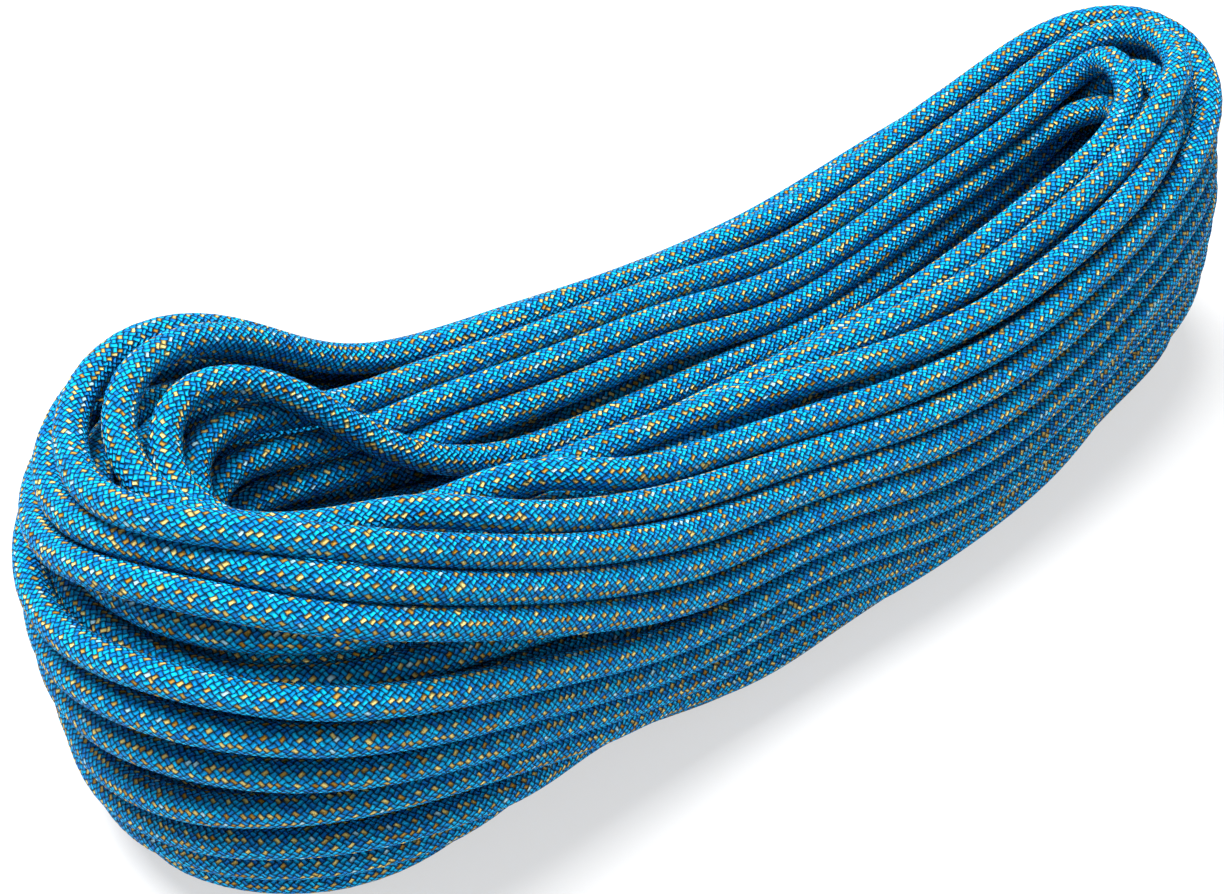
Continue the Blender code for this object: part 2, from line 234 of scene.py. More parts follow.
def outer_offset(turn, drifting=True, slots=0.0, lift=0.0):
    """Offset and height of an outer turn, moved by some places and lifted off the wall."""
    index = step_of(turn)
    place = outer_place(turn, drifting) + np.asarray(slots) / TURN_SLOTS
    out, rise = at_place(OUTLINES[index], place)
    if lift:
        ahead = at_place(OUTLINES[index], place + SLOPE_STEP)
        back = at_place(OUTLINES[index], place - SLOPE_STEP)
        way_out, way_up = ahead[0] - back[0], ahead[1] - back[1]
        length = math.hypot(way_out, way_up)
        out += lift * way_up / length
        rise -= lift * way_out / length
    return out, rise + SIZES[index][1]


# ---------------------------------------------------------------- the photograph's camera
def camera_axes():
    """Place of the camera, and its ways to the right, up and forward."""
    pitch, yaw = CAMERA_PITCH, CAMERA_YAW
    forward = np.array([math.cos(yaw) * math.cos(pitch), math.sin(yaw) * math.cos(pitch),
                        -math.sin(pitch)])
    right = np.array([math.sin(yaw), -math.cos(yaw), 0.0])
    up = np.cross(right, forward)
    across = (AIM_PIXEL[0] - FRAME_WIDTH / 2) * AIM_DEPTH / FOCAL_PIXELS
    down = (AIM_PIXEL[1] - FRAME_HEIGHT / 2) * AIM_DEPTH / FOCAL_PIXELS
    aim = np.array([0.0, 0.0, AIM_HEIGHT - GROUND_CUT])
    return aim - right * across + up * down - forward * AIM_DEPTH, right, up, forward


CAMERA_PLACE, CAMERA_RIGHT, CAMERA_UP, CAMERA_FORWARD = camera_axes()


def in_picture(points):
    """Column and row at which the camera sees points, before the shift to the part's frame."""
    ways = points - CAMERA_PLACE
    depth = ways @ CAMERA_FORWARD
    column = FRAME_WIDTH / 2 + FOCAL_PIXELS * (ways @ CAMERA_RIGHT) / depth
    row = FRAME_HEIGHT / 2 - FOCAL_PIXELS * (ways @ CAMERA_UP) / depth
    return column, row


# ---------------------------------------------------------------- how the hank has settled
# how far it sags, in mm, at each phase of the turn, full at the top of the wall; where the
# number is negative the turns are piled higher
SAGS = ((0.0, 4.0), (0.02, 1.5), (0.04, 0.0), (0.06, 0.0), (0.08, 5.0), (0.10, 10.0),
        (0.12, 16.0), (0.14, 16.0), (0.16, 3.0), (0.18, -4.0), (0.20, -6.0), (0.23, -4.0),
        (0.27, 0.0), (0.70, 0.0), (0.74, -4.0), (0.78, -4.0), (0.81, 4.0), (0.84, 13.0),
        (0.88, 11.0), (0.92, 10.0), (0.95, 8.0), (0.97, 5.5), (1.0, 4.0))
SAG_WINDOW = 9                # steps of a turn over which the sag is smoothed
SAG_TOP = 1.2                 # highest level that counts, as a share of the wall's height
SAG_POWER = 1.5
LOWEST, HIGHEST = -1.0, 1.0   # levels below and above everything
# stretches where the turns lie further in: middle phase, half width in phases, setback, lowest
# and highest level, and the band of levels over which it fades; a negative one is an outset
SETBACKS = ((0.25, 0.11, 0.0030, 0.028, 0.096, 0.014),
            (0.41, 0.09, 0.0115, LOWEST, 0.038, 0.022),
            (0.70, 0.07, 0.0070, LOWEST, 0.040, 0.020),
            (0.76, 0.08, 0.0035, 0.085, HIGHEST, 0.030),
            (0.61, 0.14, -0.0035, LOWEST, HIGHEST, 0.030),
            (0.48, 0.06, -0.0030, LOWEST, 0.045, 0.025),
            (0.235, 0.06, 0.0018, 0.090, HIGHEST, 0.030))
TIGHT_END = 0.745             # phase of the tight end, and the half width of its slump
TIGHT_SPAN = 0.08
TIGHT_SETBACK = 0.006         # of the top turn there, which fades to none at half height


def sag_table():
    """Sag in metres at each step of the phase."""
    phases, sags = np.array(SAGS).T
    table = np.interp(np.arange(PHASE_COUNT) / PHASE_COUNT, phases, sags) / 1000.0
    window = np.hanning(SAG_WINDOW) / np.hanning(SAG_WINDOW).sum()
    return np.convolve(np.tile(table, 3), window, "same")[PHASE_COUNT:2 * PHASE_COUNT]


SAG_TABLE = sag_table()


def settled_level(index, level):
    """Height of a point of the wall once the hank has sagged, at a step of the phase."""
    share = np.clip(level / (2 * SIZES[index][1]), 0.0, SAG_TOP)
    return level - SAG_TABLE[index] * share ** SAG_POWER


def settled_out(index, out, level):
    """Offset of a point of the wall once the ends have slumped."""
    phase = index / PHASE_COUNT
    for middle, half, setback, lowest, highest, band in SETBACKS:
        held = np.clip((highest - level) / band, 0.0, 1.0)
        held = held * np.clip((level - lowest) / band, 0.0, 1.0)
        out = out - setback * smooth(1 - abs(phase - middle) / half) * held
    tight = smooth(1 - abs(phase - TIGHT_END) / TIGHT_SPAN)
    high = np.clip(level / SIZES[index][1] - 1, 0.0, 1.0)
    return out - TIGHT_SETBACK * tight * high


# ---------------------------------------------------------------- turns led along seen strands
# Each strand is a few columns and rows of the photograph through which it was seen to run.
# On the far run, from the top of its inner side down:
FAR_TOP_STRAND = ((200, 331), (260, 344), (300, 354), (340, 362), (380, 359), (440, 346),
                  (500, 327), (560, 303), (700, 246))
FAR_SECOND_STRAND = ((330, 388), (440, 372), (560, 333), (700, 272))
FAR_THIRD_STRAND = ((330, 420), (440, 399), (560, 363), (700, 300))
FAR_FOURTH_STRAND = ((330, 450), (440, 430), (560, 396), (700, 328))
# the strand that leaves the far run and crosses the opening of the loose end, and how far it is
# lifted off the wall on the way: column and mm
CROSSING_STRAND = ((235, 364), (285, 377), (315, 405), (371, 437), (435, 463), (480, 470),
                   (560, 461), (700, 382), (840, 296), (920, 236))
CROSSING_LIFTS = ((235, 0), (285, 6), (315, 10), (371, 10), (435, 8), (480, 0))
# on the near run, from its top down, each from the loose end to the tight one
NEAR_TOP_STRAND = ((293, 503), (440, 516), (500, 513), (600, 491), (700, 456), (840, 410))
NEAR_SECOND_STRAND = ((293, 526), (440, 540), (600, 522), (700, 495), (840, 438))
NEAR_THIRD_STRAND = ((293, 543), (440, 561), (600, 550), (700, 530), (840, 464))
NEAR_FOURTH_STRAND = ((140, 505), (180, 536), (230, 558), (293, 571), (440, 593), (600, 583),
                      (700, 566), (840, 492))
NEAR_FIFTH_STRAND = ((105, 520), (140, 549), (180, 577), (230, 596), (293, 608), (440, 626),
                     (600, 617), (700, 600), (840, 519))
NEAR_SIXTH_STRAND = ((100, 640), (140, 664), (180, 682), (293, 702), (440, 697), (600, 661),
                     (700, 634), (840, 544))
NEAR_SEVENTH_STRAND = ((100, 680), (130, 702), (170, 722), (220, 735), (293, 740), (440, 728),
                       (600, 690), (700, 658), (840, 569))
NEAR_EIGHTH_STRAND = ((110, 727), (150, 753), (190, 770), (293, 780), (440, 757), (600, 711),
                      (700, 676), (840, 592))
NEAR_NINTH_STRAND = ((150, 795), (200, 808), (293, 813), (440, 780), (600, 731), (700, 690))
NEAR_LOWEST_STRAND = ((170, 828), (220, 838), (293, 840), (440, 797), (600, 742))
FLAT = ((0, 0), (1, 0))       # no lift
# the outer turns led along them: first and last turn number, strand and lifts
LED_TURNS = ((14.84, 15.19, FAR_TOP_STRAND, FLAT),
             (13.86, 14.20, CROSSING_STRAND, CROSSING_LIFTS),
             (12.90, 13.16, FAR_SECOND_STRAND, FLAT),
             (11.90, 12.16, FAR_THIRD_STRAND, FLAT),
             (10.90, 11.16, FAR_FOURTH_STRAND, FLAT),
             (14.34, 14.72, NEAR_TOP_STRAND, FLAT),
             (15.34, 15.72, NEAR_SECOND_STRAND, FLAT),
             (16.30, 16.72, NEAR_THIRD_STRAND, FLAT),
             (17.20, 17.72, NEAR_FOURTH_STRAND, FLAT),
             (18.20, 18.72, NEAR_FIFTH_STRAND, FLAT),
             (19.22, 19.72, NEAR_SIXTH_STRAND, FLAT),
             (20.22, 20.72, NEAR_SEVENTH_STRAND, FLAT),
             (21.22, 21.72, NEAR_EIGHTH_STRAND, FLAT),
             (0.22, 0.72, NEAR_NINTH_STRAND, FLAT),
             (1.24, 1.72, NEAR_LOWEST_STRAND, FLAT))
LED_EASE = 80.0               # columns over which a turn comes to its strand
LED_RAMP = 0.05               # share of a turn over which it does so at either end
NEAR_REACH = (-1.9, 1.4)      # places searched on either side, on the near run and the far one
FAR_REACH = (-1.5, 5.0)
REACH_TRIES = 80
STAY_COST = 3.0               # rows off the strand that moving by one place counts as
LED_WINDOW = 19               # steps of a turn over which the moves are smoothed
# turns that slip past each other round the tight end: first turn number, where the slip is
# full, where it starts to end, where it ends, and places moved
SLIPS = ((13.68, 13.86, 13.90, 14.00, 3.0), (12.62, 12.74, 12.90, 13.00, -0.8),
         (11.62, 11.74, 11.90, 12.00, -0.8), (10.62, 10.74, 10.90, 11.00, -0.8))
# low turns of the near run, with the share that each takes of the move of the lowest led ones
UNDER_TURNS = ((1, 1.0), (2, 1.0), (3, 1.0), (4, 0.9), (5, 0.8), (6, 0.6), (7, 0.4), (8, 0.2))


def steps_of(first, last):
    """Steps from one turn number to another."""
    return range(int(first * PHASE_COUNT), int(last * PHASE_COUNT) + 1)


def add_slips(moved):
    """Let turns slip past each other round the tight end."""
    for first, full, ending, last, slots in SLIPS:
        for step in steps_of(first, last):
            turn = step / PHASE_COUNT
            starting = smooth((turn - first) / (full - first))
            moved[step] = slots * starting * smooth((last - turn) / (last - ending))


def lead_turn(moved, lifts, first, last, strand, strand_lifts):
    """Move a turn round the wall, step by step, to where the camera sees it on its strand."""
    tries = np.linspace(*(NEAR_REACH if last % 1.0 > 0.5 else FAR_REACH), REACH_TRIES)
    columns, rows = np.array(strand, dtype=float).T
    lift_columns, heights = np.array(strand_lifts, dtype=float).T
    before = moved[int(first * PHASE_COUNT)]
    for step in steps_of(first, last):
        turn = step / PHASE_COUNT
        x, y, normal_x, normal_y = FRAMES[step % PHASE_COUNT]
        out, height = outer_offset(turn, slots=tries)
        level = settled_level(step % PHASE_COUNT, height + ROPE_RADIUS - GROUND_CUT)
        seen_columns, seen_rows = in_picture(
            np.stack([x + normal_x * out, y + normal_y * out, level], axis=1))
        miss = np.abs(seen_rows - np.interp(seen_columns, columns, rows))
        best = int(np.argmin(miss + STAY_COST * np.abs(tries - before)))
        column = seen_columns[best]
        beyond = max(columns[0] - column, column - columns[-1], 0.0)
        share = 1 - smooth(beyond / LED_EASE)
        share *= smooth((turn - first) / LED_RAMP) * smooth((last - turn) / LED_RAMP)
        before = tries[best] if share > 0 else before
        moved[step] += (tries[best] - moved[step]) * share
        lifts[step] = np.interp(column, lift_columns, heights) * share / 1000.0


def lead_low_turns(moved):
    """Let the low turns of the near run follow the lowest led ones."""
    last_turn = (OUTER_TURNS - 1) * PHASE_COUNT
    for step in range(PHASE_COUNT // 4, PHASE_COUNT * 3 // 4):
        slip = 0.5 * (moved[step] + moved[last_turn + step])
        for turn, share in UNDER_TURNS:
            place = turn * PHASE_COUNT + step
            moved[place] = share * slip if turn > 1 else min(moved[place], slip)


def led_offsets():
    """Places moved and lift for each step of the outer turns."""
    moved = np.zeros(OUTER_TURNS * PHASE_COUNT + 1)
    lifts = np.zeros(OUTER_TURNS * PHASE_COUNT + 1)
    add_slips(moved)
    for led in LED_TURNS:
        lead_turn(moved, lifts, *led)
    lead_low_turns(moved)
    window = np.hanning(LED_WINDOW)
    window /= window.sum()
    return np.convolve(moved, window, "same"), np.convolve(lifts, window, "same")


LED_SLOTS, LED_LIFTS = led_offsets()


# ---------------------------------------------------------------- inner turns
RING_SLOTS = 18
RING_TURNS = 17               # turns of the ring inside the outer ones
CENTRE_TURNS = 4              # turns in the middle of that ring
INNER_TURNS = RING_TURNS + CENTRE_TURNS
RING_START = 0.75             # share of the way round the ring at which it starts
DIVE_TURN = 8.5               # turn number at which the rope goes from the outer turns inside
CENTRE_STEP = 0.0102
CENTRE_SPREAD = 1.35          # how much further apart the middle turns lie at the loose end
# how far after the dive each station lies, as a share of a turn, the half sizes there of the
# ring of inner turns, and the wall's half height
STATIONS = (("near", 0.04, (0.0180, 0.0382, WALL_NEAR[2], 2.0), WALL_NEAR[1]),
            ("right", 0.255, None, WALL_RIGHT[1]),
            ("far", 0.50, (0.0223, 0.0363, WALL_FAR[2], 2.0), WALL_FAR[1]),
            ("left", 0.81, (0.0190, 0.0600, WALL_LEFT[2], 2.1), WALL_LEFT[1]))
# turns in the two columns that the tight end has room for, from the ground up
COLUMN_IN = (4, 3, 2, 1, 0, "c2", "c0", 17, 16, 15, 14)
COLUMN_OUT = (5, 6, 7, 8, "c3", "c1", 9, 10, 11, 12, 13)
COLUMN_OFFSET = 0.0050
COLUMN_FOOT = -0.0506
COLUMN_STEP = 0.01012
# steps left out of the winding where the rope dives in and where it comes out again
DIVE_GAP = 8
RISE_GAP = 10
OUTER_GAP = 14
INNER_STRIDE = 2


def column_place(key):
    """Offset and rise of a turn in the two columns."""
    column = COLUMN_IN if key in COLUMN_IN else COLUMN_OUT
    out = -COLUMN_OFFSET if key in COLUMN_IN else COLUMN_OFFSET
    return out, COLUMN_FOOT + COLUMN_STEP * column.index(key)


def ring_place(turn, name, after, size):
    """Offset and rise of a turn of the ring at a station."""
    phase = (DIVE_TURN + after) % 1.0
    moved = drift(phase) + phase
    if name == "right":
        return column_place((turn + round(moved)) % RING_SLOTS)
    return at_place(outline(*size), RING_START + (turn + after + moved) / RING_SLOTS)


def centre_place(order, name, size):
    """Offset and rise of one of the middle turns at a station."""
    if name == "right":
        return column_place(f"c{order}")
    rise = CENTRE_STEP * ((CENTRE_TURNS - 1) / 2 - order)
    if name == "left":
        rise *= CENTRE_SPREAD
    return (size[2] * rise if name == "near" else 0.0), rise


def inner_knots():
    """Knots of the inner winding: turn after the dive, offset, height."""
    knots = []
    for turn in range(INNER_TURNS):
        for name, after, size, half_high in STATIONS:
            if turn < RING_TURNS:
                out, rise = ring_place(turn, name, after, size)
            else:
                out, rise = centre_place(turn - RING_TURNS, name, size)
            knots.append((turn + after, float(out), float(rise) + half_high))
    return np.array(knots)


def outer_stretch(first, last, turns_before):
    """Rows of the winding for a stretch of outer turns."""
    rows = []
    for step in range(first, last):
        turn = step / PHASE_COUNT
        led = outer_offset(turn, True, LED_SLOTS[step], LED_LIFTS[step])
        rows.append((turn + turns_before, *led))
    return rows


def inner_stretch():
    """Rows of the winding for all inner turns."""
    knots = inner_knots()
    rows = []
    for step in range(DIVE_GAP, INNER_TURNS * PHASE_COUNT - RISE_GAP, INNER_STRIDE):
        after = step / PHASE_COUNT
        right = min(max(np.searchsorted(knots[:, 0], after), 1), len(knots) - 1)
        a, b = knots[right - 1], knots[right]
        share = smooth((after - a[0]) / (b[0] - a[0]))
        out, height = a[1:] + (b[1:] - a[1:]) * share
        rows.append((DIVE_TURN + after, out, height))
    return rows


def winding():
    """Turn number, offset and height of every point from the first outer turn to the last."""
    dive = int(DIVE_TURN * PHASE_COUNT)
    end = OUTER_TURNS * PHASE_COUNT + 1
    return np.array(outer_stretch(0, dive - DIVE_GAP, 0) + inner_stretch()
                    + outer_stretch(dive + OUTER_GAP, end, INNER_TURNS))


# ---------------------------------------------------------------- middle line of the rope
SPACING = 0.0065              # metres between its points
ROUTE_SOFTENING = 6           # rounds in which they are drawn towards their neighbours


def frame_at(turns):
    """Plan frame interpolated for an array of turn numbers."""
    steps = (turns % 1.0) * PHASE_COUNT
    low = np.floor(steps).astype(int) % PHASE_COUNT
    high = (low + 1) % PHASE_COUNT
    share = (steps - np.floor(steps))[:, None]
    return FRAMES[low] * (1 - share) + FRAMES[high] * share


def resample(points, spacing):
    """Points at an even spacing along a line."""
    steps = np.linalg.norm(np.diff(points, axis=0), axis=1)
    way = np.concatenate([[0.0], np.cumsum(steps)])
    target = np.linspace(0.0, way[-1], int(way[-1] / spacing) + 1)
    return np.stack([np.interp(target, way, points[:, axis]) for axis in range(3)], axis=1)


def soften(points, rounds):
    """The line with each point drawn towards its neighbours, once a round."""
    line = points.copy()
    for _ in range(rounds):
        line[1:-1] = 0.25 * line[:-2] + 0.5 * line[1:-1] + 0.25 * line[2:]
    return line


def wound_line():
    """Middle line of all turns, from the first outer one to the last."""
    turns = winding()
    frames = frame_at(turns[:, 0])
    level = turns[:, 2] + ROPE_RADIUS - GROUND_CUT
    out = turns[:, 1].copy()
    for row, turn in enumerate(turns[:, 0]):
        index = step_of(turn)
        level[row] = settled_level(index, level[row])
        out[row] = settled_out(index, out[row], level[row])
    return np.stack([frames[:, 0] + frames[:, 2] * out, frames[:, 1] + frames[:, 3] * out,
                     level], axis=1)


# ---------------------------------------------------------------- ends
# how an end leaves the turns and comes to the ground: shares of its length at which it starts
# to do so, and over which it does
OUT_START, OUT_SPAN = 0.04, 0.50
DOWN_START, DOWN_SPAN = 0.14, 0.66
SEAM_STEP = 0.01
OUTER_SIDE = 0.25             # share of the way round the wall of its outer side


def outer_point(turn, drifting=True):
    """Point of an outer turn before the hank has settled, as in the part."""
    x, y, normal_x, normal_y = frame_at(np.array([turn]))[0]
    out, height = outer_offset(turn, drifting)
    return Vector((x + normal_x * out, y + normal_y * out, height + ROPE_RADIUS - GROUND_CUT))


def tail_line(seam_turn, heading, length):
    """Middle line of one end, from the outer turns to the tip, as in the part."""
    run_phase = 1.0 / (4 * HANK_HALF + math.pi * (LEFT_BEND + RIGHT_BEND))
    ground = SLEEVE_RADIUS + FIT_GAP
    seam = outer_point(seam_turn)
    before = outer_point(seam_turn - heading * SEAM_STEP)
    way = (seam - before).normalized()
    points = [seam + way * FIT_GAP, seam + way * (ROPE_DIAMETER + FIT_GAP)]
    for step in range(2, TAIL_POINTS + 1):
        share = step / TAIL_POINTS
        turn = seam_turn + heading * run_phase * length * share
        held = outer_point(turn)
        x, y, normal_x, normal_y = plan_frame(turn)
        side = float(at_place(OUTLINES[step_of(turn)], OUTER_SIDE)[0])
        side += ROPE_DIAMETER + TAIL_CLEAR
        beside = Vector((x + normal_x * side, y + normal_y * side, held.z))
        point = held.lerp(beside, smooth((share - OUT_START) / OUT_SPAN))
        point.z = held.z + (ground - held.z) * smooth((share - DOWN_START) / DOWN_SPAN)
        points.append(point)
    last_way = points[-1] - points[-2]
    last_way.z = 0.0
    points[-1].z = ground
    points.append(points[-1] + last_way.normalized() * (SLEEVE_LENGTH + ROPE_DIAMETER))
    return np.array([tuple(point) for point in points])


def rope_route():
    """Middle line of the whole rope before its turns are eased apart."""
    tail_a = tail_line(0.0, -1, TAIL_A_LENGTH)[::-1]
    tail_b = tail_line(float(OUTER_TURNS), 1, TAIL_B_LENGTH)
    line = np.concatenate([tail_a, wound_line()[1:-1], tail_b])
    return soften(resample(line, SPACING), ROUTE_SOFTENING)


def part_shift():
    """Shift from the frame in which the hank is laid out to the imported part's."""
    low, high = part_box("rope_outer_turns")
    turns = [step / PHASE_COUNT for step in range(0, OUTER_TURNS * PHASE_COUNT, 2)]
    outer = np.array([tuple(outer_point(turn, False)) for turn in turns])
    middle = (outer.min(axis=0) + outer.max(axis=0)) / 2
    shift = (np.array(low) + np.array(high)) / 2 - middle
    shift[2] = 0.0
    return shift


# ---------------------------------------------------------------- turns eased apart
CLEARANCE = 0.00985           # metres kept between the middle lines of turns that touch
CONTACT_REACH = 1.45          # how far contacts are looked for, as a share of the clearance
CONTACT_LENGTH = 0.75         # how far along a contact counts, as a share of the spacing
SAME_STRETCH = 4              # points along the rope that never touch each other
CONTACT_ROUNDS = 8            # rounds of easing after which contacts are looked for again
PUSH = 1.2                    # share of each overlap that a round takes away
HOLD = 0.01                   # how strongly each round draws a point back to its planned place
FULL_ROUNDS = 90
GROUND_GAP = 0.0001
NO_DISTANCE = 1e-6


def contacts(points):
    """Pairs of points near each other that are not neighbours along the rope."""
    tree = KDTree(len(points))
    for index, point in enumerate(points):
        tree.insert(point, index)
    tree.balance()
    first, second = [], []
    for index, point in enumerate(points):
        for _, other, _ in tree.find_range(point, CLEARANCE * CONTACT_REACH):
            if other > index + SAME_STRETCH:
                first.append(index)
                second.append(other)
    return np.array(first), np.array(second)


def tangents(points):
    """Way along the line at each of its points."""
    ways = np.gradient(points, axis=0)
    return ways / np.linalg.norm(ways, axis=1)[:, None]


def ease_apart(design, rounds):
    """Push touching turns apart, and hold the rest near where it was planned."""
    points = design.copy()
    for turn in range(rounds):
        if turn % CONTACT_ROUNDS == 0:
            first, second = contacts(points)
        ways = tangents(points)
        apart = points[first] - points[second]
        along = np.sum(apart * ways[second], axis=1)[:, None]
        across = apart - along * ways[second]
        distance = np.linalg.norm(across, axis=1)
        close = (distance < CLEARANCE) & (np.abs(along[:, 0]) < SPACING * CONTACT_LENGTH)
        push = np.zeros_like(points)
        weight = np.zeros(len(points))
        gap = (CLEARANCE - distance[close])[:, None]
        unit = across[close] / np.maximum(distance[close], NO_DISTANCE)[:, None]
        np.add.at(push, first[close], unit * gap * 0.5)
        np.add.at(push, second[close], -unit * gap * 0.5)
        np.add.at(weight, first[close], 1.0)
        np.add.at(weight, second[close], 1.0)
        points += push / np.maximum(weight, 1.0)[:, None] * PUSH
        points = design + soften(points - design, 1) * (1 - HOLD)
        points[:, 2] = np.maximum(points[:, 2], ROPE_RADIUS + GROUND_GAP)
    return points


# ---------------------------------------------------------------- tube mesh
TUBE_SIDES = 14


def tube_mesh(name, points, radius, sides):
    """A tube with capped ends and a UV map: metres along, and share round."""
    ways = tangents(points)
    side = np.cross(ways[0], (0.0, 0.0, 1.0))
    side /= np.linalg.norm(side)
    sides_along = [side]
    for way in ways[1:]:
        side = side - way * np.dot(side, way)
        side /= np.linalg.norm(side)
        sides_along.append(side)
    sides_along = np.array(sides_along)
    ups = np.cross(sides_along, ways)
    angles = np.linspace(0, 2 * math.pi, sides, endpoint=False)
    rings = (points[:, None, :]
             + radius * (np.cos(angles)[None, :, None] * sides_along[:, None, :]
                         + np.sin(angles)[None, :, None] * ups[:, None, :]))
    count = len(points)
    places = rings.reshape(-1, 3)
    first = (np.arange(count - 1)[:, None] * sides + np.arange(sides)[None, :])
    after = (np.arange(count - 1)[:, None] * sides + (np.arange(sides)[None, :] + 1) % sides)
    quads = np.stack([first, after, after + sides, first + sides], axis=2).reshape(-1, 4)
    mesh = bpy.data.meshes.new(name)
    faces = quads.tolist()
    faces.append(list(range(sides)))
    faces.append(list(range((count - 1) * sides, count * sides))[::-1])
    mesh.from_pydata(places.tolist(), [], faces)
    steps = np.linalg.norm(np.diff(points, axis=0), axis=1)
    way = np.concatenate([[0.0], np.cumsum(steps)])
    layer = mesh.uv_layers.new(name="rope")
    turn = np.arange(sides) / sides
    u0 = np.repeat(way[:-1], sides)
    u1 = np.repeat(way[1:], sides)
    v0 = np.tile(turn, count - 1)
    v1 = v0 + 1 / sides
    uv = np.stack([u0, v0, u0, v1, u1, v1, u1, v0], axis=1).reshape(-1)
    uv = np.concatenate([uv, np.zeros(4 * sides)])
    layer.data.foreach_set("uv", uv.astype(np.float32))
    mesh.shade_smooth()
    item = bpy.data.objects.new(name, mesh)
    bpy.context.scene.collection.objects.link(item)
    return item


# ---------------------------------------------------------------- shader maths
class Wave:
    """A shader value that can be reckoned with as in a formula."""

    def __init__(self, look, socket):
        self.look = look
        self.socket = socket

    def maths(self, operation, *values):
        return self.look.node("ShaderNodeMath", {"operation": operation}, dict(enumerate(values)))

    def __add__(self, other):
        return self.maths("ADD", self, other)

    def __radd__(self, other):
        return self.maths("ADD", other, self)

    def __sub__(self, other):
        return self.maths("SUBTRACT", self, other)

    def __rsub__(self, other):
        return self.maths("SUBTRACT", other, self)

    def __mul__(self, other):
        return self.maths("MULTIPLY", self, other)

    def __rmul__(self, other):
        return self.maths("MULTIPLY", other, self)

    def __truediv__(self, other):
        return self.maths("DIVIDE", self, other)

    def __rtruediv__(self, other):
        return self.maths("DIVIDE", other, self)

    def __mod__(self, other):
        return self.maths("FLOORED_MODULO", self, other)

    def __rmod__(self, other):
        return self.maths("FLOORED_MODULO", other, self)

    def __pow__(self, other):
        return self.maths("POWER", self, other)

    def __rpow__(self, other):
        return self.maths("POWER", other, self)

    def __abs__(self):
        return self.maths("ABSOLUTE", self)

    def __floor__(self):
        return self.maths("FLOOR", self)

    def __lt__(self, other):
        return self.maths("LESS_THAN", self, other)

    def __gt__(self, other):
        return self.maths("GREATER_THAN", self, other)

    def least(self, other):
        return self.maths("MINIMUM", self, other)

    def most(self, other):
        return self.maths("MAXIMUM", self, other)

    def either(self, when_one, when_nil):
        """One value where this is 1 and the other where it is 0."""
        return when_nil + (when_one - when_nil) * self


class Look:
    """One material and the nodes that make it."""

    def __init__(self, name):
        self.material = bpy.data.materials.new(name)
        self.material.use_nodes = True
        self.tree = self.material.node_tree
        self.shader = self.tree.nodes["Principled BSDF"]

    def put(self, socket, value):
        """Link a socket, or set it."""
        if isinstance(value, Wave):
            self.tree.links.new(value.socket, socket)
        else:
            socket.default_value = (*value, 1.0) if socket.type == "RGBA" else value

    def node(self, kind, settings, values, output=0):
        """One output of a new node, with its settings and the values or links of its sockets."""
        made = self.tree.nodes.new(kind)
        for name, setting in settings.items():
            if name == "stops":
                for element, (place, colour) in zip(made.color_ramp.elements, setting):
                    element.position = place
                    element.color = (*colour, 1.0)
            else:
                setattr(made, name, setting)
        for socket, value in values.items():
            self.put(made.inputs[socket], value)
        return Wave(self, made.outputs[output])

    def object_place(self):
        return self.node("ShaderNodeTexCoord", {}, {}, "Object")

    def noise(self, place, scale, detail):
        return self.node("ShaderNodeTexNoise", {},
                         {"Vector": place, "Scale": scale, "Detail": detail}, "Fac")

    def chance(self, *parts):
        """A random number from 0 to 1 for each set of whole numbers."""
        joined = self.node("ShaderNodeCombineXYZ", {}, dict(enumerate(parts)))
        return self.node("ShaderNodeTexWhiteNoise", {"noise_dimensions": "3D"},
                         {"Vector": joined}, "Value")

    def blend(self, share, low, high):
        """A colour between two others."""
        return self.node("ShaderNodeMix", {"data_type": "RGBA"}, {0: share, 6: low, 7: high}, 2)

    def ramp(self, share, *stops):
        return self.node("ShaderNodeValToRGB", {"stops": stops}, {0: share})

    def raise_surface(self, height, strength, distance):
        """Relief by the shading, as deep as the distance where the height is 1."""
        self.put(self.shader.inputs["Normal"],
                 self.node("ShaderNodeBump", {}, {"Strength": strength, "Distance": distance,
                                                  "Height": height}))


ROUGHNESS_RANGE = 0.25        # how far roughness follows the noise of a surface


# ---------------------------------------------------------------- braided sheath
BRAID_YARNS = 14              # yarns each way round the sheath
BRAID_PITCH = 0.0023          # metres from lump to lump along a row
BRAID_WOBBLE = 0.8            # how unevenly the yarns run, in lumps
WOBBLE_SCALES = (330.0, 290.0)
LUMP_LENGTH = 1.20            # length of a lump against its cell of the braid
LUMP_WIDTH = 0.80             # width of a lump against its cell
LUMP_END_POWER = 2.4          # how full a lump is towards its ends and its sides
LUMP_SIDE_POWER = 2.2
LUMP_RELIEF = 0.0009
GAP_SHADE_DEPTH = 1.45              # painted shade: a lump is darkened towards near black blue where it is lower than one part in this
GOLD_ROWS = 3.5               # rows of lumps from one row with gold ones to the next, as a mean
GOLD_ROW_WIDTH = 0.9
GOLD_STEPS = 2.0              # a gold row holds gold at each second lump
GOLD_ON_STEP = 0.96           # chance of gold there, at the other lumps of the row, and anywhere
GOLD_OFF_STEP = 0.16
GOLD_ANYWHERE = 0.015
PALE_CHANCE = 0.07            # of a lump in a gold row
COLOUR_DRAW, TONE_DRAW = 3.0, 7.0     # which random number of a lump picks its kind and tone
FIBRE_SCALE = 2600.0
FIBRE_RELIEF = 0.10           # against the height of a lump
FIBRE_SHARE = 0.5             # how much of the fibres' own colour shows
SHEATH_ROUGHNESS = 0.5
SHEATH_GLOSS = 0.08
# painted shade, nearly black blue, for the gaps between the lumps
PAINTED_GAP_SHADE = (0.0, 0.006, 0.020)
DEEP_BLUE = (0.0, 0.19, 0.66)
BRIGHT_BLUE = (0.002, 0.55, 1.0)
DARK_GOLD = (0.38, 0.19, 0.006)
LIGHT_GOLD = (0.86, 0.72, 0.24)
PALE_YARN = (0.40, 0.72, 0.86)
